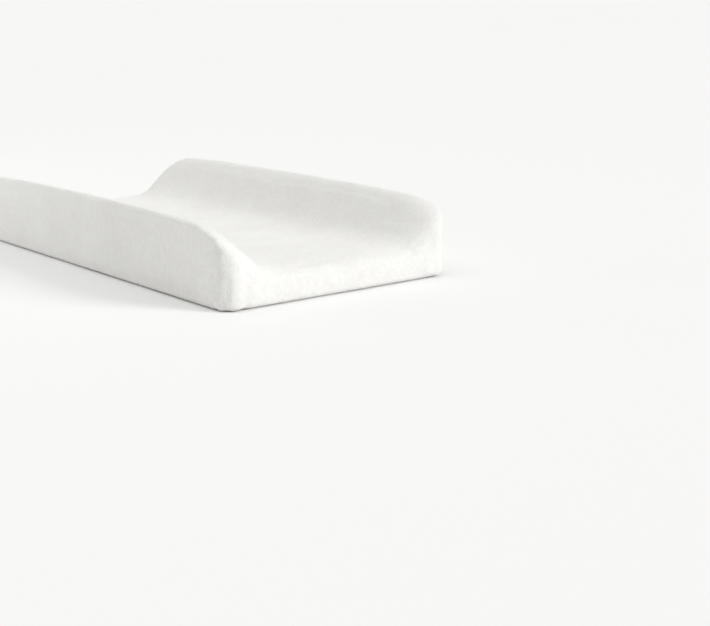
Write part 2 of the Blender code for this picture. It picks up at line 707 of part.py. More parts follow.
def main():
    clear_scene()
    make_foam()
    make_liner()
    make_label()
    make_snaps()
    make_zip_chain()
    make_zip_slider()
    make_buckle()
    make_cover()
    make_hem()


main()
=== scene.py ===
import math

import bmesh
import bpy
import numpy as np
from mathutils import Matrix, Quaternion, Vector, noise
from mathutils.bvhtree import BVHTree


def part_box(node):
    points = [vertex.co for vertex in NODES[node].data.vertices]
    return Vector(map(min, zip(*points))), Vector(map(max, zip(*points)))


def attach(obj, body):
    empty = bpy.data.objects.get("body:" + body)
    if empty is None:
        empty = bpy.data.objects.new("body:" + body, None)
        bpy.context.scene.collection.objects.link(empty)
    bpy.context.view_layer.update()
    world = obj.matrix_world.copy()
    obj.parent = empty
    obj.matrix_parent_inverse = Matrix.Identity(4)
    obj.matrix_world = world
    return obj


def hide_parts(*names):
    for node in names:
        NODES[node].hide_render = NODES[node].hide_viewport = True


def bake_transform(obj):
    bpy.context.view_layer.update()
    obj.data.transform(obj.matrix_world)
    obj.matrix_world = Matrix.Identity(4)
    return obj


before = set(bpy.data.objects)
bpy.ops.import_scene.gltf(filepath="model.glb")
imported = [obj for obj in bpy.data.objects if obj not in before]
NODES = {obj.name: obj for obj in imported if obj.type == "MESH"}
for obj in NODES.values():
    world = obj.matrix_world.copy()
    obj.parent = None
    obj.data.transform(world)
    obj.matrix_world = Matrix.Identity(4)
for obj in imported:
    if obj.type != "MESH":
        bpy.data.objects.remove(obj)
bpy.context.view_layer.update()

# ---- sizes, read from the frame ----
COVER_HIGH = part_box("plush_cover")[1]
HEM_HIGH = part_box("cover_hem")[1]
HALF_X, HALF_Y = COVER_HIGH.x, COVER_HIGH.y

# ---- view and light ----
CAMERA_PLACE = Vector((1.944, -1.163, 0.423))
CAMERA_YAW = math.radians(142.43)
CAMERA_PITCH = math.radians(-13.18)
CAMERA_ROLL = math.radians(-0.67)
LENS, SENSOR, SEES_TO = 69.64, 36.0, 2000.0
SKY_LEVEL, SKY_TOP = 0.22, 0.88  # the dome's light at the horizon and overhead
SKY_TINT = (1.0, 0.995, 0.97)
BACKDROP = 0.93
FLOOR_WHITE, FLOOR_REACH, FLOOR_Z = 0.915, 400.0, -0.0002
# Each soft sun: strength, the direction towards it, and the angle that it fills
SUNS = {
    "key": (1.78, Vector((0.77, 0.48, 0.42)), math.radians(24)),
    "top": (0.42, Vector((-0.28, -0.36, 0.89)), math.radians(50)),
}
FILL_POWER = 3.9
FILL_PLACE = Vector((-1.30, -1.25, 0.38))
FILL_SIZE = 0.7
FILL_AIM = Vector((-0.42, -0.1, 0.06))

# ---- the cover ----
GAP = 0.0003  # between touching pieces
SKIRT = HALF_Y - HEM_HIGH.y - GAP  # how far the cover turns under
OPENING_R = 0.024
COVER_VOXEL = 0.0044
COVER_THICK = 0.0026
BRIDGE_PASSES = 60
BRIDGE_MOST = 0.008
COVER_SWELL = 0.0015
CLOTH = {"quality": 5, "mass": 0.3, "tension_stiffness": 15, "compression_stiffness": 15,
         "shear_stiffness": 5, "bending_stiffness": 0.5, "use_pressure": True,
         "uniform_pressure_force": 4.0, "shrink_min": -0.03}
CLOTH_FRAMES = 20
FOLD_REACH = 0.052  # how far in from each side the corners' folds begin
FOLD_EASE = 0.010
FOLD_FADE = 0.030
FOLD_TURNS = 15.0
FOLD_WANDER, WANDER_SCALE = 0.18, 22
FOLD_HEIGHT = 0.0011
LUMPS = ((0.0008, 14, 1), (0.0005, 45, 1), (0.0003, 170, 2))  # height, features in a metre, octaves
LUMP_FADE = 0.004  # the lumps fade out from this height down to the floor
MOUTH_LEVEL = 0.008  # the underside lies below this height
MOUTH_SPARE = 0.0005  # the mouth is cut small, and its edge drawn onto the outline
ON_OUTLINE = 2e-5

# ---- the hem: a gathered casing round the opening, with elastic in it ----
HEM_MIDDLE = SKIRT + 0.0056
HEM_HALF = Vector((0.0057, 0.0016))
HEM_Z = 0.0020
HEM_WALL = 0.0005
HEM_STEP = 0.0012
HEM_SIDES, HEM_SQUARE = 20, 2.6
GATHER_PITCH = 0.0062
GATHER_DEPTH = 0.0007
GATHER_SPREAD, SPREAD_SCALE = 0.6, 25
GATHER_DRIFT, DRIFT_SCALE = 1.5, 60
GATHER_GROWTH = Vector((0.8, 0.4))  # shares of a gather's depth, across the hem and up
ELASTIC_HALF = Vector((0.0040, 0.0004))
ELASTIC_SIDES, ELASTIC_SQUARE = 16, 8.0
HEM_SEAM_IN, HEM_SEAM_Z = 0.0012, 0.0006

# ---- liner ----
LINER_VOXEL = 0.005
LINER_THICK = 0.0009
LINER_MOUTH_IN = 0.015
LINER_MOUTH_R = 0.012
PANEL_IN = 0.008
PANEL_R = 0.019
PANEL_THICK = 0.0006
PANEL_STEP = 0.003
PANEL_TRIM = 1e-5  # keeps the outermost rays on the CAD's panel
INSIDE_BY = 1e-4  # a grid point this far inside the outline is on the cloth
PANEL_DIP, PANEL_RISE = 0.0002, 0.0004  # the most that softening may move the base cloth
GRIP_IN = 0.074  # inset of the area that has grip dots
DOT_PITCH = 0.012
DOT_R = 0.0024
DOT_HEIGHT = 0.0004
DOT_ROOT = 0.0002  # depth of a dot's foot in the cloth
DENT_FROM = 1e-4  # the base cloth is flat where it lies lower than this

# ---- foam ----
FOAM_VOXELS = {"foam_base": 0.0035, "foam_bolster_near": 0.003, "foam_bolster_far": 0.003}
UNDERSIDE_TOP = 0.015  # the foam's underside, dents and all, lies below this height
CELL_DEPTH, CELL_SCALE = 0.0002, 230

# ---- zip, snaps and label ----
TEETH_LOW, TEETH_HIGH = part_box("zip_teeth_left")
TOOTH_PITCH = 0.0025
TOOTH_NECK = ((-0.0010, -0.0005, -0.0009), (0.0012, 0.0005, 0.0009), 0.0002)  # corners, rounding
TOOTH_HEAD = ((0.0009, -0.0008, -0.0011), (0.0021, 0.0008, 0.0011), 0.0004)
ROW_FROM_MIDDLE = 0.0028
CORD_R, CORD_TIP_R, CORD_TIP = 0.0008, 0.0005, 0.0004
SLIT_LOW = Vector((-0.2752, -0.1153))
SLIT_HIGH = Vector((-0.2648, 0.1153))
SLIT_SEAM_OUT, SLIT_SEAM_Z = 0.0025, 0.0055
RING_LOW, RING_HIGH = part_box("anchor_snap_socket_left")
CAP_LOW, CAP_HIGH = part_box("anchor_snap_cap_left")
RING_R = 0.006
RING_BORE = 0.0022
POST_R = 0.0018
TURNED_SIDES = 48
LABEL_LOW, LABEL_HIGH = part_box("care_label")
LABEL_STEP = 0.001
LABEL_THICK = 0.00025
LABEL_RIPPLE, RIPPLE_PITCH = 0.00008, 0.019
LABEL_SEAM_IN, LABEL_SEAM_Z = 0.002, 0.0002

# ---- belt: the same route as the CAD's webbing ----
BELT_Z = 0.0053
LOOP_RISE = 0.0020
STRAP_NEAR = {"side": -1, "slot_y": 0.0235, "rise_y": 0.036, "tail_y": 0.055}
STRAP_FAR = {"side": 1, "slot_y": 0.0238, "rise_y": 0.042, "tail_y": 0.078}
STRAP_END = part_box("belt_strap_far")[1].y
SOCKET_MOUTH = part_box("buckle_socket")[1].y
CLIMB, LEVEL_RUN = 0.012, 0.050  # from the top of its rise out to where the webbing is level
WEBBING_HALF = Vector((0.0125, 0.0006))
WEBBING_COLUMNS, WEBBING_STEP = 48, 0.0008
SELVEDGE = 0.35  # share of the webbing's thickness at its edges
SELVEDGE_SLOPE, YARN_SLOPE = 14, 8  # how fast its thickness and its yarns grow from there
YARN, YARN_DEPTH = 0.0021, 0.00007
PATCH_LOW, PATCH_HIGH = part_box("belt_patch_far")
PATCH_SEAM_IN = 0.003

# ---- buckle: raised lines on its two faces ----
LINE_HALF, LINE_ROUND = 0.0004, 0.0003
LINE_SUNK = 0.0001  # from the face in to a line's middle
BORDER_HALF = Vector((0.0125, 0.0095))
BORDER_Y = (-0.0165, 0.0015)
RIB_HALF = Vector((0.0105, 0.0005))
RIB_FIRST, RIB_PITCH, RIB_COUNT = 0.0022, 0.0020, 3

# ---- sewing ----
THREAD_R = 0.0002
STITCH_LENGTH = 0.0026
STITCH_PITCH = 0.0036


# ==== helpers ====

def link(obj):
    bpy.context.scene.collection.objects.link(obj)
    return obj


def bake(obj):
    """Replaces obj's mesh by what its modifiers make of it."""
    graph = bpy.context.evaluated_depsgraph_get()
    mesh = bpy.data.meshes.new_from_object(obj.evaluated_get(graph), depsgraph=graph)
    obj.modifiers.clear()
    old = obj.data
    obj.data = mesh
    bpy.data.meshes.remove(old)
    return obj


def modify(obj, kind, **settings):
    modifier = obj.modifiers.new(kind.lower(), kind)
    for name, value in settings.items():
        setattr(modifier, name, value)
    return modifier


def coordinates(obj, attribute="co"):
    flat = np.empty(len(obj.data.vertices) * 3)
    obj.data.vertices.foreach_get(attribute, flat)
    return flat.reshape(-1, 3)


def normals(obj):
    return coordinates(obj, "normal")


def set_coordinates(obj, points):
    obj.data.vertices.foreach_set("co", np.asarray(points, np.float32).ravel())
    obj.data.update()


def from_faces(name, points, faces):
    mesh = bpy.data.meshes.new(name)
    mesh.from_pydata([tuple(p) for p in points], [], faces)
    mesh.update()
    mesh.shade_smooth()
    return link(bpy.data.objects.new(name, mesh))


def merged(node):
    """A bmesh of a CAD node, with its split corners joined."""
    bm = bmesh.new()
    bm.from_mesh(NODES[node].data)
    bmesh.ops.remove_doubles(bm, verts=bm.verts, dist=1e-6)
    return bm


def from_bmesh(name, bm):
    mesh = bpy.data.meshes.new(name)
    bm.to_mesh(mesh)
    bm.free()
    return link(bpy.data.objects.new(name, mesh))


def sharpen(obj, degrees):
    obj.data.set_sharp_from_angle(angle=math.radians(degrees))


def cut_away(obj, unwanted):
    """Deletes the vertices that unwanted(vertex) picks. Returns the numbers of those on open edges."""
    bm = bmesh.new()
    bm.from_mesh(obj.data)
    bmesh.ops.delete(bm, geom=[v for v in bm.verts if unwanted(v)], context="VERTS")
    bm.verts.index_update()
    rim = [v.index for v in bm.verts if v.is_boundary]
    bm.to_mesh(obj.data)
    bm.free()
    return rim


def solidified(obj, thickness, offset=-1.0):
    modify(obj, "SOLIDIFY", thickness=thickness, offset=offset, use_rim=True)
    bake(obj)
    obj.data.shade_smooth()


def grid_cells(columns, rows):
    """Each cell (i, j) of a grid of points, with its corners' numbers in the list by columns."""
    for i in range(columns - 1):
        for j in range(rows - 1):
            first = i * rows + j
            yield i, j, (first, first + rows, first + rows + 1, first + 1)


def placed(piece, slot, body, *nodes, finish=None):
    """Gives a piece the material of its finish, or else of its slot, attaches it to its body, and hides the
    CAD nodes that it stands for.
    """
    piece.data.materials.clear()
    piece.data.materials.append(FINISHES[finish or slot])
    if body:
        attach(piece, body)
    if nodes:
        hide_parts(*nodes)
    return piece


# ==== materials ====

def add_node(tree, kind, inputs=None, **settings):
    """A new node. Each input is a value, or the output that it is linked to."""
    made = tree.nodes.new("ShaderNode" + kind)
    for name, value in settings.items():
        setattr(made, name, value)
    for key, value in (inputs or {}).items():
        if isinstance(value, bpy.types.NodeSocket):
            tree.links.new(value, made.inputs[key])
        else:
            made.inputs[key].default_value = value
    return made


class Shader:
    """A Principled material and the nodes that drive it, in object coordinates."""

    def __init__(self, name, roughness, metallic=0.0, specular=0.5, sheen=0.0, sheen_roughness=0.5):
        self.material = bpy.data.materials.new(name)
        self.material.use_nodes = True
        self.tree = self.material.node_tree
        self.shader = self.tree.nodes["Principled BSDF"]
        finish = {"Roughness": roughness, "Metallic": metallic, "Specular IOR Level": specular,
                  "Sheen Weight": sheen, "Sheen Roughness": sheen_roughness}
        for key, value in finish.items():
            self.shader.inputs[key].default_value = value
        self.place = self.node("TexCoord").outputs["Object"]

    def node(self, kind, inputs=None, **settings):
        return add_node(self.tree, kind, inputs, **settings)

    def stretched(self, scale):
        return self.node("Mapping", {"Vector": self.place, "Scale": scale}).outputs["Vector"]

    def noise(self, scale, stretch=(1, 1, 1), detail=2.0, roughness=0.5):
        where = self.stretched(stretch)
        made = self.node("TexNoise", {"Vector": where, "Scale": scale, "Detail": detail,
                                      "Roughness": roughness})
        return made.outputs["Fac"]

    def cells(self, scale):
        """Distance from the nearest cell's centre, for that many cells in a metre."""
        return self.node("TexVoronoi", {"Vector": self.place, "Scale": scale}).outputs["Distance"]

    def weave(self, x_period, y_period):
        """Over-and-under bumps from 0 to 1, with those periods in metres along X and Y."""
        split = self.node("SeparateXYZ", {0: self.place})
        across = self.math("SINE", self.math("MULTIPLY", split.outputs[0], 2 * math.pi / x_period))
        along = self.math("SINE", self.math("MULTIPLY", split.outputs[1], 2 * math.pi / y_period))
        both = self.math("MULTIPLY", across, along)
        return self.node("MapRange", {"Value": both, "From Min": -1.0}).outputs["Result"]

    def ramp(self, value, low, high, low_at=0.3, high_at=0.7):
        made = self.node("ValToRGB", {"Fac": value})
        first, last = made.color_ramp.elements
        first.position, last.position = low_at, high_at
        first.color, last.color = (*low, 1.0), (*high, 1.0)
        return made.outputs["Color"]

    def multiply(self, a, b):
        mixed = self.node("Mix", {"Factor": 1.0, "A": a, "B": b},
                          data_type="RGBA", blend_type="MULTIPLY")
        return mixed.outputs["Result"]

    def shaded(self, tone, value, low, low_at=0.3, high_at=0.7):
        """The tone, multiplied by low where the value is small."""
        return self.multiply(tone, self.ramp(value, low, (1, 1, 1), low_at, high_at))

    def math(self, operation, a, b=0.0):
        return self.node("Math", {0: a, 1: b}, operation=operation).outputs[0]

    def colour(self, value):
        self.tree.links.new(value, self.shader.inputs["Base Color"])

    def rough(self, value, low, high):
        ramp = self.ramp(value, (low,) * 3, (high,) * 3)
        self.tree.links.new(ramp, self.shader.inputs["Roughness"])

    def finished(self, *bumps):
        """The material, with its bumps on top of each other. Each is (height, distance, strength)."""
        under = {}
        for height, distance, strength in bumps:
            inputs = {"Height": height, "Distance": distance, "Strength": strength, **under}
            under = {"Normal": self.node("Bump", inputs).outputs["Normal"]}
        self.tree.links.new(under["Normal"], self.shader.inputs["Normal"])
        return self.material


def plush():
    """Short dense pile: smears where it was stroked, mottled tufts and a soft sheen."""
    s = Shader("plush", 0.95, specular=0.15, sheen=0.35, sheen_roughness=0.45)
    patches = s.noise(15.0, detail=4.0)
    smears = s.noise(1.0, (190, 135, 105), 4.0, 0.65)
    tufts = s.noise(420.0, detail=2.0, roughness=0.6)
    fibres = s.noise(1300.0, detail=1.0)
    tone = s.ramp(smears, (0.868, 0.863, 0.848), (0.912, 0.912, 0.906), 0.32, 0.66)
    tone = s.shaded(tone, patches, (0.965, 0.962, 0.952))
    s.colour(s.shaded(tone, tufts, (0.95, 0.95, 0.94)))
    return s.finished((smears, 0.0010, 0.35), (tufts, 0.0010, 0.8), (fibres, 0.0004, 0.7))


def knit():
    """Hem binding: fine knitted ribs across the casing."""
    s = Shader("hem_binding", 0.85, specular=0.2, sheen=0.25)
    ribs = s.weave(0.0011, 0.0011)
    puckers = s.noise(160.0, detail=2.0)
    tone = s.ramp(ribs, (0.80, 0.79, 0.76), (0.90, 0.89, 0.86), 0.1, 0.9)
    s.colour(s.shaded(tone, puckers, (0.93, 0.93, 0.92)))
    return s.finished((puckers, 0.0006, 0.5), (ribs, 0.0003, 0.6))


def woven(name, roughness, periods, low, high, bump, low_at=0.1, **looks):
    """Thread, or a narrow woven band: one weave gives its tones and its bump (distance, strength)."""
    s = Shader(name, roughness, **looks)
    threads = s.weave(*periods)
    s.colour(s.ramp(threads, low, high, low_at, 1 - low_at))
    return s.finished((threads, *bump))


def vinyl():
    """Wipe-clean coated fabric: a fine leather-like grain, slightly uneven gloss."""
    s = Shader("vinyl", 0.38, specular=0.5)
    grain = s.cells(620.0)
    cloud = s.noise(9.0, detail=4.0)
    tone = s.ramp(grain, (0.80, 0.81, 0.81), (0.87, 0.88, 0.88), 0.0, 0.5)
    s.colour(s.shaded(tone, cloud, (0.965, 0.965, 0.97)))
    s.rough(cloud, 0.32, 0.46)
    return s.finished((cloud, 0.0012, 0.15), (grain, 0.0002, 0.5))


def non_slip():
    """Plain-woven base cloth."""
    s = Shader("non_slip", 0.65, specular=0.3)
    threads = s.weave(0.0012, 0.0012)
    cloud = s.noise(24.0, detail=4.0)
    tone = s.ramp(threads, (0.60, 0.61, 0.62), (0.76, 0.77, 0.78), 0.15, 0.85)
    s.colour(s.shaded(tone, cloud, (0.93, 0.93, 0.93)))
    return s.finished((threads, 0.0003, 0.7))


def rubber():
    """Grip dots: soft grey silicone."""
    s = Shader("grip_rubber", 0.45, specular=0.45)
    cloud = s.noise(220.0, detail=3.0)
    s.colour(s.ramp(cloud, (0.36, 0.37, 0.39), (0.46, 0.47, 0.49)))
    s.rough(cloud, 0.38, 0.55)
    return s.finished((cloud, 0.0001, 0.4))


def foam():
    """Open-cell polyurethane foam, cream, with a few larger voids."""
    s = Shader("foam", 0.95, specular=0.1)
    pores = s.cells(900.0)
    voids = s.noise(330.0, detail=3.0, roughness=0.7)
    cloud = s.noise(7.0, detail=3.0)
    tone = s.ramp(pores, (0.66, 0.59, 0.42), (0.90, 0.84, 0.66), 0.0, 0.45)
    tone = s.shaded(tone, voids, (0.80, 0.78, 0.72), 0.34, 0.46)
    s.colour(s.shaded(tone, cloud, (0.95, 0.93, 0.88)))
    return s.finished((voids, 0.0008, 0.5), (pores, 0.0006, 0.8))


def webbing():
    """Belt webbing: a tight twill of thick yarns."""
    s = Shader("webbing", 0.72, specular=0.3, sheen=0.15)
    yarns = s.weave(YARN, 0.0016)
    fuzz = s.noise(1500.0, detail=2.0)
    tone = s.ramp(yarns, (0.62, 0.62, 0.60), (0.82, 0.82, 0.80), 0.1, 0.9)
    s.colour(s.shaded(tone, fuzz, (0.94, 0.94, 0.93)))
    return s.finished((fuzz, 0.0002, 0.4), (yarns, 0.0005, 0.8))


def moulded(name, low, high, gloss):
    """Satin moulded plastic: a fine spark-eroded texture and slight flow marks."""
    s = Shader(name, gloss, specular=0.5)
    spark = s.noise(2600.0, detail=2.0)
    flow = s.noise(60.0, (1, 4, 1), 3.0)
    s.colour(s.ramp(flow, low, high))
    s.rough(flow, gloss - 0.06, gloss + 0.10)
    return s.finished((spark, 0.00006, 0.5))


def nickel():
    """Tumbled nickel plate: soft scratches, slightly darker where it is handled less."""
    s = Shader("nickel", 0.26, metallic=1.0)
    scratches = s.noise(900.0, (1, 12, 1), 3.0)
    cloud = s.noise(130.0, detail=3.0)
    s.colour(s.ramp(cloud, (0.58, 0.57, 0.54), (0.70, 0.69, 0.66)))
    s.rough(scratches, 0.18, 0.36)
    return s.finished((scratches, 0.00004, 0.4))


def stage_white():
    """The floor's plain matt white."""
    s = Shader("stage_white", 1.0, specular=0.0)
    s.shader.inputs["Base Color"].default_value = (FLOOR_WHITE, FLOOR_WHITE, FLOOR_WHITE, 1)
    return s.material


# Each slot's material, and those of the grip dots and the thread
FINISHES = {
    "plush": plush(),
    "hem_binding": knit(),
    "elastic": woven("elastic", 0.7, (0.0008, 0.0016), (0.70, 0.70, 0.68), (0.86, 0.86, 0.84),
                     bump=(0.0003, 0.8), low_at=0.2, specular=0.3),
    "vinyl": vinyl(),
    "non_slip": non_slip(),
    "grip": rubber(),
    "foam": foam(),
    "webbing": webbing(),
    "thread": woven("thread", 0.6, (0.0006, 0.0006), (0.74, 0.73, 0.70), (0.90, 0.89, 0.86),
                    bump=(0.0001, 0.6), specular=0.35),
    "buckle": moulded("buckle", (0.74, 0.74, 0.73), (0.82, 0.82, 0.81), 0.36),
    "zip_tape": woven("zip_tape", 0.8, (0.0009, 0.0014), (0.68, 0.68, 0.66), (0.84, 0.84, 0.82),
                      bump=(0.0003, 0.7), specular=0.25),
    "zip_teeth": moulded("zip_teeth", (0.72, 0.72, 0.70), (0.80, 0.80, 0.78), 0.42),
    "nickel": nickel(),
    "label": woven("label", 0.45, (0.0005, 0.0022), (0.84, 0.84, 0.83), (0.92, 0.92, 0.91),
                   bump=(0.0001, 0.5), specular=0.45, sheen=0.1),
}


# ==== camera, light, floor ====

def make_camera():
    ahead = Vector((math.cos(CAMERA_PITCH) * math.cos(CAMERA_YAW),
                    math.cos(CAMERA_PITCH) * math.sin(CAMERA_YAW), math.sin(CAMERA_PITCH)))
    data = bpy.data.cameras.new("camera")
    data.lens, data.sensor_width = LENS, SENSOR
    data.clip_end = SEES_TO
    camera = link(bpy.data.objects.new("camera", data))
    camera.location = CAMERA_PLACE
    roll = Quaternion((0, 0, 1), CAMERA_ROLL)
    camera.rotation_euler = (ahead.to_track_quat("-Z", "Y") @ roll).to_euler()
    bpy.context.scene.camera = camera


def make_lights():
    """Two soft suns, and a soft panel low on the near side that lights the near outer face."""
    for name, (strength, direction, angle) in SUNS.items():
        sun = bpy.data.lights.new(name, "SUN")
        sun.energy, sun.angle = strength, angle
        lamp = link(bpy.data.objects.new(name, sun))
        lamp.rotation_euler = direction.to_track_quat("Z", "Y").to_euler()
    panel = bpy.data.lights.new("fill", "AREA")
    panel.energy, panel.size = FILL_POWER, FILL_SIZE
    lamp = link(bpy.data.objects.new("fill", panel))
    lamp.location = FILL_PLACE
    lamp.rotation_euler = (FILL_PLACE - FILL_AIM).to_track_quat("Z", "Y").to_euler()
    lamp.visible_camera = False


def make_world():
    """A dome that is brighter overhead, and that the camera sees as a plain backdrop."""
    world = bpy.data.worlds.new("studio")
    world.use_nodes = True
    tree = world.node_tree
    tree.nodes.clear()
    direction = add_node(tree, "TexCoord").outputs["Generated"]
    up = add_node(tree, "SeparateXYZ", {0: direction}).outputs["Z"]
    dome = add_node(tree, "MapRange", {"Value": up, "To Min": SKY_LEVEL, "To Max": SKY_TOP})
    light = add_node(tree, "Background", {"Color": (*SKY_TINT, 1), "Strength": dome.outputs["Result"]})
    seen = add_node(tree, "Background", {"Color": (1, 1, 1, 1), "Strength": BACKDROP})
    from_camera = add_node(tree, "LightPath").outputs["Is Camera Ray"]
    mix = add_node(tree, "MixShader", {"Fac": from_camera, 1: light.outputs[0], 2: seen.outputs[0]})
    add_node(tree, "OutputWorld", {"Surface": mix.outputs[0]})
    bpy.context.scene.world = world
    bpy.context.scene.view_settings.view_transform = "Standard"


def make_floor():
    corners = [(x * FLOOR_REACH, y * FLOOR_REACH, 0) for x, y in ((-1, -1), (1, -1), (1, 1), (-1, 1))]
    floor = from_faces("floor", corners, [(0, 1, 2, 3)])
    floor.location.z = FLOOR_Z
    floor.data.materials.append(stage_white())


# ==== skins ====

def outer_skin(node, name, inset, radius):
    """A copy of the outside of a shell, with its mouth underneath closed by one face."""
    bm = merged(node)

    def on_mouth(vert):
        off = abs(outline_distance(np.array([vert.co]), inset, radius)[0])
        return vert.co.z < MOUTH_LEVEL and off < ON_OUTLINE

    rim = {v for v in bm.verts if on_mouth(v)}
    start = max(bm.faces, key=lambda f: f.calc_center_median().z)
    found, queue = {start}, [start]
    while queue:
        face = queue.pop()
        for other in {f for edge in face.edges for f in edge.link_faces} - found:
            lies_flat = abs(other.normal.z) > 0.5
            if lies_flat or not rim.issuperset(other.verts):
                found.add(other)
                queue.append(other)
    bmesh.ops.delete(bm, geom=[f for f in bm.faces if f not in found], context="FACES")
    bmesh.ops.holes_fill(bm, edges=[e for e in bm.edges if e.is_boundary])
    bmesh.ops.recalc_face_normals(bm, faces=bm.faces)
    return from_bmesh(name, bm)


def swell(obj, most):
    """Blows the slack fabric out from just inside its place. The pad inside stops it from sinking in."""
    rest = coordinates(obj)
    out = normals(obj)
    set_coordinates(obj, rest - out * most)
    cloth = modify(obj, "CLOTH")
    for name, value in CLOTH.items():
        setattr(cloth.settings, name, value)
    cloth.settings.effector_weights.gravity = 0.0
    scene = bpy.context.scene
    scene.frame_start, scene.frame_end = 1, CLOTH_FRAMES
    for number in range(1, CLOTH_FRAMES + 1):
        scene.frame_set(number)
    bake(obj)
    scene.frame_set(1)
    moved = coordinates(obj) - rest
    height = np.sum(moved * out, axis=1)
    sideways = moved - height[:, None] * out
    length = np.linalg.norm(sideways, axis=1)
    sideways *= (most * np.tanh(length / most) / np.maximum(length, 1e-9))[:, None]
    height = most * np.tanh(np.maximum(height, 0) / most)
    set_coordinates(obj, rest + sideways + height[:, None] * out)


def bridge(obj, passes, most):
    """Lets taut fabric span a hollow: it only moves outwards, towards the level of its neighbours."""
    rest = coordinates(obj)
    out = normals(obj)
    pairs = np.array([edge.vertices[:] for edge in obj.data.edges])
    count = np.bincount(pairs.ravel(), minlength=len(rest))
    height = np.zeros(len(rest))
    for _ in range(passes):
        points = rest + out * height[:, None]
        total = np.zeros_like(points)
        np.add.at(total, pairs[:, 0], points[pairs[:, 1]])
        np.add.at(total, pairs[:, 1], points[pairs[:, 0]])
        rise = np.sum((total / count[:, None] - points) * out, axis=1)
        height = np.clip(height + rise, 0, most)
    set_coordinates(obj, rest + out * height[:, None])


def fractal(points, scale, octaves=1):
    """Signed noise at each point, for that many features in a metre."""
    total = np.zeros(len(points))
    for octave in range(octaves):
        step = 2.0 ** octave
        k = scale * step
        total += np.array([noise.noise((x * k, y * k, z * k)) for x, y, z in points]) / step
    return total


def remeshed(obj, voxel, passes):
    """Even small faces all over, with the solid's facets smoothed away."""
    modify(obj, "REMESH", mode="VOXEL", voxel_size=voxel)
    bake(obj)
    modify(obj, "SMOOTH", factor=0.5, iterations=passes)
    bake(obj)


def outline_distance(points, inset, radius):
    """How far each point is outside the pad's plan, inset and with round corners. Negative is inside."""
    from_core_x = np.abs(points[:, 0]) - (HALF_X - inset - radius)
    from_core_y = np.abs(points[:, 1]) - (HALF_Y - inset - radius)
    outside = np.hypot(np.maximum(from_core_x, 0), np.maximum(from_core_y, 0))
    return outside + np.minimum(np.maximum(from_core_x, from_core_y), 0) - radius


def drawn_to_outline(points, chosen, inset, radius):
    """The points, with the chosen ones moved in plan onto the inset outline."""
    step = 1e-4
    for _ in range(3):
        here = outline_distance(points[chosen], inset, radius)
        slope_x = (outline_distance(points[chosen] + (step, 0, 0), inset, radius) - here) / step
        slope_y = (outline_distance(points[chosen] + (0, step, 0), inset, radius) - here) / step
        points[chosen, 0] -= here * slope_x
        points[chosen, 1] -= here * slope_y
    return points


def open_mouth(obj, inset, radius):
    """Cuts the opening in the underside, and draws its edge onto the opening's outline."""
    outside = outline_distance(coordinates(obj), inset, radius)
    rim = cut_away(obj, lambda v: outside[v.index] < -MOUTH_SPARE and v.co.z < MOUTH_LEVEL)
    set_coordinates(obj, drawn_to_outline(coordinates(obj), np.array(rim), inset, radius))


# ==== the plush cover and its hem ====

def corner_folds(points):
    """Small folds that fan out round the upright corners, deepest at the foot and faint by mid-height."""
    past_x = np.abs(points[:, 0]) - (HALF_X - FOLD_REACH)
    past_y = np.abs(points[:, 1]) - (HALF_Y - FOLD_REACH)
    near = np.clip(np.minimum(past_x, past_y) / FOLD_EASE, 0, 1)
    turn = np.arctan2(past_y, past_x) + FOLD_WANDER * fractal(points, WANDER_SCALE)
    return near * np.exp(-points[:, 2] / FOLD_FADE) * np.sin(FOLD_TURNS * turn)


def make_cover():
    cover = outer_skin("plush_cover", "cover_plush", SKIRT, OPENING_R)
    remeshed(cover, COVER_VOXEL, passes=5)
    bridge(cover, BRIDGE_PASSES, BRIDGE_MOST)
    swell(cover, COVER_SWELL)
    points = coordinates(cover)
    out = normals(cover)
    lumps = sum(height * fractal(points, scale, octaves) for height, scale, octaves in LUMPS)
    lumps *= np.clip(points[:, 2] / LUMP_FADE, 0, 1)
    folds = FOLD_HEIGHT * corner_folds(points)
    faces_down = out[:, 2] < -0.8
    lumps += np.where(faces_down, np.minimum(folds, 0), folds)
    points += out * lumps[:, None]
    points[:, 2] = np.maximum(points[:, 2], 0)
    set_coordinates(cover, points)
    open_mouth(cover, SKIRT, OPENING_R)
    solidified(cover, COVER_THICK)
    return placed(cover, "plush", "pad", "plush_cover")


def round_outline(inset, radius, step):
    """Points about step apart round the pad's plan, inset, each with the direction outwards there."""
    corner = Vector((HALF_X - inset - radius, HALF_Y - inset - radius, 0))
    centres = [Vector((sx * corner.x, sy * corner.y, 0)) for sx, sy in ((1, 1), (-1, 1), (-1, -1), (1, -1))]
    stations = []
    for quarter, centre in enumerate(centres):
        arc = max(4, round(radius * math.pi / 2 / step))
        for i in range(arc):
            a = (quarter + i / arc) * math.pi / 2
            outwards = Vector((math.cos(a), math.sin(a), 0))
            stations.append((centre + radius * outwards, outwards))
        side = centres[(quarter + 1) % 4] - centre
        a = quarter * math.pi / 2
        outwards = Vector((round(-math.sin(a)), round(math.cos(a)), 0))
        count = round(side.length / step)
        for i in range(count):
            stations.append((centre + side * (i / count) + radius * outwards, outwards))
    return stations


def closed_tube(name, rings):
    """A hoop through rings of as many points each, the last ring joined to the first."""
    sides = len(rings[0])
    points = [point for ring in rings for point in ring]
    faces = []
    for i in range(len(rings)):
        a, b = i * sides, (i + 1) % len(rings) * sides
        for j in range(sides):
            k = (j + 1) % sides
            faces.append((a + j, b + j, b + k, a + k))
    return from_faces(name, points, faces)


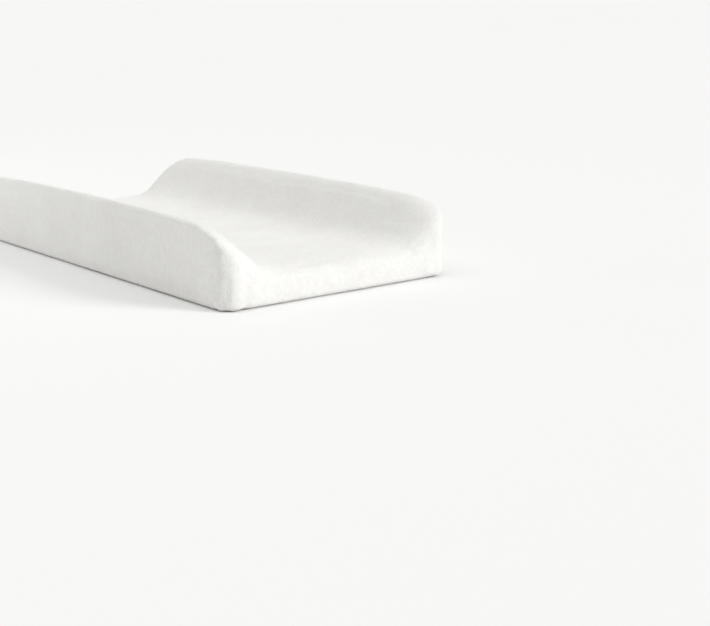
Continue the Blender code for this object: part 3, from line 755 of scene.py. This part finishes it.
def flat_ring(place, outwards, half, z, flatness, sides):
    """A flattened oval across the hem. A higher flatness is squarer."""
    ring = []
    for j in range(sides):
        a = 2 * math.pi * j / sides
        c, s = math.cos(a), math.sin(a)
        across = math.copysign(abs(c) ** (2 / flatness), c) * half.x
        up = math.copysign(abs(s) ** (2 / flatness), s) * half.y
        ring.append(place + across * outwards + Vector((0, 0, z + up)))
    return ring


def make_hem():
    """The gathered casing, the elastic in it, and the seam that joins it to the cover."""
    stations = round_outline(HEM_MIDDLE, OPENING_R - (HEM_MIDDLE - SKIRT), HEM_STEP)
    casing, band = [], []
    for i, (place, outwards) in enumerate(stations):
        drift = GATHER_DRIFT * noise.noise(place * DRIFT_SCALE)
        gather = math.sin(2 * math.pi * i * HEM_STEP / GATHER_PITCH + drift)
        spread = GATHER_SPREAD + GATHER_SPREAD * noise.noise(place * SPREAD_SCALE)
        grown = GATHER_DEPTH * spread * gather * GATHER_GROWTH
        casing.append(flat_ring(place, outwards, HEM_HALF + grown, HEM_Z, HEM_SQUARE, HEM_SIDES))
        level = HEM_Z + grown.y
        band.append(flat_ring(place, outwards, ELASTIC_HALF, level, ELASTIC_SQUARE, ELASTIC_SIDES))
    hem = closed_tube("cover_hem_casing", casing)
    solidified(hem, HEM_WALL)
    placed(hem, "hem_binding", "pad", "cover_hem")
    ribbon = closed_tube("hem_elastic_band", band)
    placed(ribbon, "elastic", "pad", "hem_elastic")
    row = [place for place, _ in round_outline(SKIRT + HEM_SEAM_IN, OPENING_R - HEM_SEAM_IN, STITCH_PITCH)]
    stations = [((a + b) / 2, b - a) for a, b in zip(row, row[1:] + row[:1])]
    sewing = stitches("hem_stitches", stations, HEM_SEAM_Z, "hem_binding")
    return [hem, ribbon, sewing]


# ==== sewing ====

def copies(name, pattern, stations):
    """One mesh of copies of a small closed shape. A station is a place and the direction of its +X."""
    shape, shape_faces = pattern
    points, faces = [], []
    for place, along in stations:
        along = Vector(along).normalized()
        across = Vector((-along.y, along.x, 0))
        base = len(points)
        points += [place + x * along + y * across + Vector((0, 0, z)) for x, y, z in shape]
        faces += [tuple(base + i for i in face) for face in shape_faces]
    return from_faces(name, points, faces)


def lathe(profile, sides, axis="z"):
    """Points and faces of a closed turned shape, from a profile of (radius, height) with 0 at both ends."""
    inner = profile[1:-1]
    turns = [(math.cos(2 * math.pi * j / sides), math.sin(2 * math.pi * j / sides)) for j in range(sides)]
    points = [(r * c, r * s, h) for r, h in inner for c, s in turns]
    points += [(0, 0, profile[0][1]), (0, 0, profile[-1][1])]
    first, last = len(points) - 2, len(points) - 1
    faces = []
    for i in range(len(inner) - 1):
        a, b = i * sides, (i + 1) * sides
        faces += [(a + j, a + (j + 1) % sides, b + (j + 1) % sides, b + j) for j in range(sides)]
    end = (len(inner) - 1) * sides
    for j in range(sides):
        k = (j + 1) % sides
        faces.append((k, j, first))
        faces.append((end + j, end + k, last))
    if axis == "x":
        points = [(h, r, c) for c, r, h in points]
    return points, faces


def stitches(name, stations, level, slot):
    """Short stitches lying flat, each (middle, direction), at that height."""
    half, r = STITCH_LENGTH / 2, THREAD_R
    side = [(0.5 * r, -half), (r, -0.7 * half), (r, 0.7 * half), (0.5 * r, half)]
    rod = lathe([(0, -half), *side, (0, half)], sides=6, axis="x")
    sewing = copies(name, rod, [(Vector((place.x, place.y, level)), along) for place, along in stations])
    return placed(sewing, slot, "pad", finish="thread")


def stitch_line(start, end):
    """Stations of the stitches of a straight seam."""
    start, end = Vector((*start, 0)), Vector((*end, 0))
    count = max(1, round((end - start).length / STITCH_PITCH))
    return [(start.lerp(end, (i + 0.5) / count), end - start) for i in range(count)]


# ==== the liner ====

def make_liner_shell():
    shell = outer_skin("liner_shell", "liner_vinyl", LINER_MOUTH_IN, LINER_MOUTH_R)
    remeshed(shell, LINER_VOXEL, passes=4)
    open_mouth(shell, LINER_MOUTH_IN, LINER_MOUTH_R)
    solidified(shell, LINER_THICK)
    return placed(shell, "vinyl", "pad", "liner_shell")


def spaced(low, high, step, exact=()):
    """Sorted values about step apart from low to high. Each exact value takes the place of the nearest."""
    count = round((high - low) / step)
    values = [low + (high - low) * i / count for i in range(count + 1)]
    for value in exact:
        near = min(range(len(values)), key=lambda i: abs(values[i] - value))
        values[near] = value
    return sorted(values)


def neighbours(grid):
    """A grid of values and its eight copies shifted by one step, with its edges repeated."""
    rows, columns = grid.shape
    padded = np.pad(grid, 1, mode="edge")
    return [padded[i:i + rows, j:j + columns] for i in range(3) for j in range(3)]


def panel_heights(xs, ys):
    """Height of the base's underside at each grid point, NaN over a hole. The dents' edges are softened."""
    bm = merged("liner_base")
    tree = BVHTree.FromBMesh(bm)
    bm.free()
    below, up = -0.01, Vector((0, 0, 1))
    heights = np.full((len(xs), len(ys)), np.nan)
    for i, x in enumerate(xs):
        for j, y in enumerate(ys):
            found = tree.ray_cast(Vector((x, y, below)), up)[0]
            if found is not None:
                heights[i, j] = found.z
    exact = heights
    for _ in range(2):
        around = neighbours(heights)
        weight = sum(~np.isnan(copy) for copy in around)
        mean = sum(np.nan_to_num(copy) for copy in around) / np.maximum(weight, 1)
        heights = np.where(np.isnan(heights), np.nan, mean)
    return np.clip(heights, exact - PANEL_DIP, exact + PANEL_RISE)


def make_base_panel():
    """The woven base cloth, slit for the zip. Its grid of heights serves the dots and the foam too."""
    half_x, half_y = HALF_X - PANEL_IN - PANEL_TRIM, HALF_Y - PANEL_IN - PANEL_TRIM
    xs = spaced(-half_x, half_x, PANEL_STEP, (SLIT_LOW.x, SLIT_HIGH.x))
    ys = spaced(-half_y, half_y, PANEL_STEP, (SLIT_LOW.y, SLIT_HIGH.y))
    heights = panel_heights(xs, ys)
    plan = np.array([(x, y, 0.0) for x in xs for y in ys])
    outside = outline_distance(plan, PANEL_IN, PANEL_R)
    inside = outside < -INSIDE_BY
    faces = []
    for i, j, corners in grid_cells(len(xs), len(ys)):
        x, y = (xs[i] + xs[i + 1]) / 2, (ys[j] + ys[j + 1]) / 2
        in_slit = SLIT_LOW.x < x < SLIT_HIGH.x and SLIT_LOW.y < y < SLIT_HIGH.y
        if not in_slit and inside[list(corners)].any():
            faces.append(corners)
    flat_part = heights[:5, :5]
    filled = np.where(np.isnan(heights), np.nanmax(flat_part), heights)
    plan = drawn_to_outline(plan, outside > 0, PANEL_IN, PANEL_R)
    plan[:, 2] = np.maximum(filled.ravel(), DOT_HEIGHT)
    panel = from_faces("liner_base_cloth", plan, faces)
    cut_away(panel, lambda v: not v.link_faces)
    solidified(panel, PANEL_THICK, offset=1.0)
    placed(panel, "non_slip", "pad", "liner_base")
    return panel, (xs, ys, heights)


def make_grip_dots(grid):
    """Rows of silicone domes on the flat part of the base."""
    xs, ys, heights = grid
    dome = [(0, DOT_ROOT), (DOT_R, DOT_ROOT), (DOT_R, 0), (0.85 * DOT_R, -0.55 * DOT_HEIGHT),
            (0.5 * DOT_R, -0.92 * DOT_HEIGHT), (0, -DOT_HEIGHT)]
    stations = []
    row_pitch = DOT_PITCH * math.sqrt(0.75)  # the dots stand in equal triangles
    rows = int((HALF_Y - GRIP_IN) / row_pitch)
    columns = int((HALF_X - GRIP_IN) / DOT_PITCH)
    for row in range(-rows, rows + 1):
        for column in range(-columns, columns + 1):
            x, y = (column + 0.5 * (row % 2)) * DOT_PITCH, row * row_pitch
            i, j = np.searchsorted(xs, x), np.searchsorted(ys, y)
            around = heights[i - 2:i + 2, j - 2:j + 2]
            if abs(x) < HALF_X - GRIP_IN and np.nanmax(around) < DENT_FROM and not np.isnan(around).any():
                stations.append((Vector((x, y, DOT_HEIGHT)), (1, 0, 0)))
    dots = copies("grip_dots", lathe(dome[::-1], sides=12), stations)
    return placed(dots, "non_slip", "pad", finish="grip")


def make_label():
    """A blank satin ribbon, sewn along one edge and faintly rippled."""
    across = spaced(LABEL_LOW.x, LABEL_HIGH.x, LABEL_STEP)
    along = spaced(LABEL_LOW.y, LABEL_HIGH.y, LABEL_STEP)
    points = []
    for x in across:
        for y in along:
            share = (y - LABEL_LOW.y) / (LABEL_HIGH.y - LABEL_LOW.y)
            ripple = LABEL_RIPPLE * math.sin(2 * math.pi * (x - LABEL_LOW.x) / RIPPLE_PITCH + 2 * share)
            points.append((x, y, LABEL_LOW.z - LABEL_RIPPLE + ripple))
    faces = [corners for i, j, corners in grid_cells(len(across), len(along))]
    label = from_faces("care_label_ribbon", points, faces)
    solidified(label, LABEL_THICK, offset=1.0)
    placed(label, "label", "pad", "care_label")
    seam_y = LABEL_HIGH.y - LABEL_SEAM_IN
    row = stitch_line((LABEL_LOW.x, seam_y), (LABEL_HIGH.x, seam_y))
    seam = stitches("label_stitches", row, LABEL_SEAM_Z, "label")
    return label, seam


# ==== foam ====

def clear_of_cloth(points, grid):
    """Lifts the underside's points clear of the base cloth's dents, out to a grid step around them."""
    xs, ys, heights = grid
    ceiling = np.max(neighbours(np.nan_to_num(heights)), axis=0) + PANEL_THICK + GAP
    i = np.clip(np.searchsorted(xs, points[:, 0]), 0, len(xs) - 1)
    j = np.clip(np.searchsorted(ys, points[:, 1]), 0, len(ys) - 1)
    under = points[:, 2] < UNDERSIDE_TOP
    points[under, 2] = np.maximum(points[under, 2], ceiling[i, j][under])


def make_foam(grid):
    made = []
    for node, voxel in FOAM_VOXELS.items():
        piece = from_bmesh(node + "_cellular", merged(node))
        remeshed(piece, voxel, passes=2)
        points = coordinates(piece)
        points += normals(piece) * (CELL_DEPTH * fractal(points, CELL_SCALE))[:, None]
        clear_of_cloth(points, grid)
        set_coordinates(piece, points)
        piece.data.shade_smooth()
        placed(piece, "foam", "pad", node)
        made.append(piece)
    return made


# ==== small hard parts ====

def refined(node, slot, body, width, segments=3):
    """A CAD node's solid with rounded edges."""
    bm = merged(node)
    bmesh.ops.dissolve_limit(bm, angle_limit=math.radians(0.5), verts=bm.verts, edges=bm.edges)
    piece = from_bmesh(node + "_finished", bm)
    modify(piece, "BEVEL", width=width, segments=segments, limit_method="ANGLE",
           angle_limit=math.radians(32))
    bake(piece)
    piece.data.shade_smooth()
    sharpen(piece, 40)
    return placed(piece, slot, body, node)


def rounded_block(low, high, width):
    """Points and faces of a block between two corners, with rounded edges."""
    bm = bmesh.new()
    bmesh.ops.create_cube(bm, size=1.0)
    for vert in bm.verts:
        vert.co = [a + (b - a) * (c + 0.5) for a, b, c in zip(low, high, vert.co)]
    bmesh.ops.bevel(bm, geom=bm.edges, offset=width, segments=2, profile=0.5, affect="EDGES")
    bm.verts.index_update()
    pattern = ([vert.co.copy() for vert in bm.verts], [[v.index for v in face.verts] for face in bm.faces])
    bm.free()
    return pattern


def make_teeth(side, sign):
    """One row of a moulded zip: a corded edge, and teeth whose heads almost reach the other row's."""
    row = TEETH_HIGH - TEETH_LOW
    level = (TEETH_LOW.z + TEETH_HIGH.z) / 2
    middle = SLIT_LOW.lerp(SLIT_HIGH, 0.5)
    cord_side = [(CORD_TIP_R, 0), (CORD_R, CORD_TIP), (CORD_R, row.y - CORD_TIP), (CORD_TIP_R, row.y)]
    cord = lathe([(0, 0), *cord_side, (0, row.y)], sides=12, axis="x")
    start = Vector((middle.x + sign * ROW_FROM_MIDDLE, TEETH_LOW.y, level))
    bead = copies(f"zip_cord_{side}", cord, [(start, (0, 1, 0))])
    placed(bead, "zip_teeth", "pad", f"zip_teeth_{side}")
    neck, head = rounded_block(*TOOTH_NECK), rounded_block(*TOOTH_HEAD)
    base = len(neck[0])
    tooth = (neck[0] + head[0], neck[1] + [[base + i for i in face] for face in head[1]])
    count = int((row.y - TOOTH_PITCH) / TOOTH_PITCH)
    offset = 0.75 if sign < 0 else 1.25  # the two rows' teeth alternate
    first = TEETH_LOW.y + offset * TOOTH_PITCH
    stations = [(Vector((start.x, first + i * TOOTH_PITCH, level)), (-sign, 0, 0)) for i in range(count)]
    teeth = copies(f"zip_row_{side}", tooth, stations)
    sharpen(teeth, 40)
    placed(teeth, "zip_teeth", "pad")


def make_zip():
    for side, sign in (("left", -1), ("right", 1)):
        make_teeth(side, sign)
        refined(f"zip_tape_{side}", "zip_tape", "pad", width=0.00012, segments=2)
    for end in ("closed", "open"):
        refined(f"zip_stop_{end}", "nickel", "pad", width=0.0005)
    refined("zip_slider", "nickel", "zip_slider", width=0.0004)
    refined("zip_pull", "nickel", "zip_pull", width=0.0004)
    rows = []
    left, right = SLIT_LOW.x - SLIT_SEAM_OUT, SLIT_HIGH.x + SLIT_SEAM_OUT
    near, far = SLIT_LOW.y - SLIT_SEAM_OUT, SLIT_HIGH.y + SLIT_SEAM_OUT
    for x in (left, right):
        rows += stitch_line((x, near), (x, far))
    for y in (near, far):
        rows += stitch_line((left, y), (right, y))
    stitches("zip_stitches", rows, SLIT_SEAM_Z, "zip_tape")


def turned_ring(name, profile, x):
    """A ring about the vertical at x, from a closed profile of (radius, height)."""
    rings = []
    for j in range(TURNED_SIDES):
        a = 2 * math.pi * j / TURNED_SIDES
        rings.append([Vector((x + r * math.cos(a), r * math.sin(a), z)) for r, z in profile])
    ring = closed_tube(name, rings)
    sharpen(ring, 50)
    return ring


def make_snaps():
    """Each snap's ring has a rolled edge and a sunk middle. Its cap's post is turned to a neck."""
    low, high = RING_LOW.z, RING_HIGH.z
    edge, bore, post = RING_R, RING_BORE, POST_R
    profile = [(bore, low + 0.0007), (bore + 0.0003, low + 0.0004), (bore + 0.0009, low + 0.0005),
               (bore + 0.0013, low + 0.0010), (edge - 0.0017, low + 0.0010), (edge - 0.0012, low + 0.0003),
               (edge - 0.0007, low), (edge - 0.0002, low + 0.0003), (edge, low + 0.0009),
               (edge, high - 0.0002), (edge - 0.0002, high), (bore + 0.0001, high), (bore, high - 0.0001)]
    neck = CAP_LOW.z + 0.0004
    top = CAP_HIGH.z
    plate = top - 0.0009
    cap = [(0, CAP_LOW.z), (post - 0.0005, CAP_LOW.z), (post - 0.0001, neck), (post, neck + 0.0006),
           (post - 0.0003, neck + 0.0013), (post - 0.0003, plate), (edge - 0.0002, plate),
           (edge, plate + 0.0002), (edge, top - 0.0004), (edge - 0.0004, top - 0.0001),
           (0.5 * edge, top), (0, top)]
    for side, sign in (("left", -1), ("right", 1)):
        x = sign * abs(RING_LOW.x + RING_HIGH.x) / 2
        ring = turned_ring(f"snap_ring_{side}", profile[::-1], x)
        placed(ring, "nickel", "pad", f"anchor_snap_socket_{side}")
        lid = copies(f"snap_cap_{side}", lathe(cap, TURNED_SIDES), [(Vector((x, 0, 0)), (1, 0, 0))])
        sharpen(lid, 50)
        placed(lid, "nickel", "pad", f"anchor_snap_cap_{side}")


# ==== belt ====

def smooth_route(points, step):
    """Points about step apart on a Catmull-Rom curve through the given ones."""
    points = [points[0] * 2 - points[1]] + points + [points[-1] * 2 - points[-2]]
    route = []
    for a, b, c, d in zip(points, points[1:], points[2:], points[3:]):
        count = max(2, round((c - b).length / step))
        for i in range(count):
            t = i / count
            route.append(0.5 * (2 * b + (c - a) * t + (2 * a - 5 * b + 4 * c - d) * t * t
                                + (3 * b - a - 3 * c + d) * t ** 3))
    route.append(points[-2])
    return route


def make_strap(name, side, slot_y, rise_y, tail_y):
    """Webbing from the liner's edge in to the buckle, over its bars, down the slot and back underneath."""
    high, low = BELT_Z + LOOP_RISE, BELT_Z - LOOP_RISE
    route = [(STRAP_END, BELT_Z), (rise_y + LEVEL_RUN, BELT_Z), (rise_y + CLIMB, BELT_Z), (rise_y, high)]
    for degrees in (60, 30, 0, -30, -60):
        a = math.radians(degrees)
        route.append((slot_y + LOOP_RISE * (1 - math.cos(a)), BELT_Z + LOOP_RISE * math.sin(a)))
    route += [(rise_y, low), (tail_y, low)]
    middle = smooth_route([Vector((0, side * y, z)) for y, z in route], WEBBING_STEP)
    rings = []
    for i, place in enumerate(middle):
        along = (middle[min(i + 1, len(middle) - 1)] - middle[max(i - 1, 0)]).normalized()
        up = Vector((0, -along.z, along.y)) * side
        top, under = [], []
        for j in range(WEBBING_COLUMNS + 1):
            x = WEBBING_HALF.x * (2 * j / WEBBING_COLUMNS - 1)
            from_edge = 1 - abs(x) / WEBBING_HALF.x
            thick = WEBBING_HALF.y * min(1.0, SELVEDGE + SELVEDGE_SLOPE * from_edge)
            yarn = YARN_DEPTH * math.sin(2 * math.pi * x / YARN) * min(1.0, YARN_SLOPE * from_edge)
            top.append(place + Vector((x, 0, 0)) + up * (thick - YARN_DEPTH + yarn))
            under.append(place + Vector((x, 0, 0)) - up * (thick - YARN_DEPTH - yarn))
        rings.append(top + under[::-1])
    return open_tube(name, rings)


def open_tube(name, rings):
    """A solid through rings of as many points each, closed at both ends."""
    sides = len(rings[0])
    points = [point for ring in rings for point in ring]
    faces = [tuple(range(sides)), tuple(range(len(points) - sides, len(points)))]
    for a in range(0, len(points) - sides, sides):
        for j in range(sides):
            k = (j + 1) % sides
            faces.append((a + j, a + k, a + sides + k, a + sides + j))
    bm = bmesh.new()
    verts = [bm.verts.new(point) for point in points]
    for face in faces:
        bm.faces.new([verts[i] for i in face])
    bmesh.ops.recalc_face_normals(bm, faces=bm.faces)
    obj = from_bmesh(name, bm)
    obj.data.shade_smooth()
    sharpen(obj, 50)
    return obj


def make_belt():
    near = make_strap("belt_webbing_near", **STRAP_NEAR)
    placed(near, "webbing", "pad", "belt_strap_near")
    far = make_strap("belt_webbing_far", **STRAP_FAR)
    placed(far, "webbing", None, "belt_strap_far")
    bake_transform(far)
    inner, outer = PATCH_LOW.y + PATCH_SEAM_IN, PATCH_HIGH.y - PATCH_SEAM_IN
    edge = PATCH_HIGH.x - PATCH_SEAM_IN
    for name, side in (("near", -1), ("far", 1)):
        refined(f"belt_patch_{name}", "webbing", "pad", width=0.0003)
        a, b = (-edge, side * inner), (edge, side * inner)
        c, d = (edge, side * outer), (-edge, side * outer)
        box_and_cross = ((a, b), (b, c), (c, d), (d, a), (a, c), (b, d))
        rows = [station for start, end in box_and_cross for station in stitch_line(start, end)]
        level = PATCH_LOW.z - 0.5 * THREAD_R
        stitches(f"belt_stitches_{name}", rows, level, "webbing")


def make_buckle():
    """The socket with a raised border round its face, and the plug with grip ribs."""
    refined("buckle_socket", "buckle", "pad", width=0.0009)
    refined("buckle_plug", "buckle", "buckle_plug", width=0.0007)

    def lines(name, half_length, half_width, stations, body):
        high = Vector((half_length, half_width, LINE_HALF))
        line = rounded_block(-high, high, LINE_ROUND)
        placed(copies(name, line, stations), "buckle", body)

    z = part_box("buckle_socket")[0].z + LINE_SUNK
    rails = [(Vector((0, y, z)), (1, 0, 0)) for y in BORDER_Y]
    lines("socket_border", BORDER_HALF.x, LINE_HALF, rails, "pad")
    middle = sum(BORDER_Y) / 2
    stiles = [(Vector((x, middle, z)), (0, 1, 0)) for x in (-BORDER_HALF.x, BORDER_HALF.x)]
    lines("socket_border_sides", BORDER_HALF.y, LINE_HALF, stiles, "pad")
    first = SOCKET_MOUTH + GAP + RIB_FIRST
    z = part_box("buckle_plug")[0].z + LINE_SUNK
    ribs = [(Vector((0, first + RIB_PITCH * i, z)), (1, 0, 0)) for i in range(RIB_COUNT)]
    lines("plug_grip_ribs", RIB_HALF.x, RIB_HALF.y, ribs, "buckle_plug")


def make_pad():
    panel, grid = make_base_panel()
    dots = make_grip_dots(grid)
    foam_pieces = make_foam(grid)
    shell = make_liner_shell()
    label, label_seam = make_label()
    make_zip()
    make_snaps()
    make_belt()
    make_buckle()
    cover = make_cover()
    hem_pieces = make_hem()


make_camera()
make_lights()
make_world()
make_floor()
make_pad()
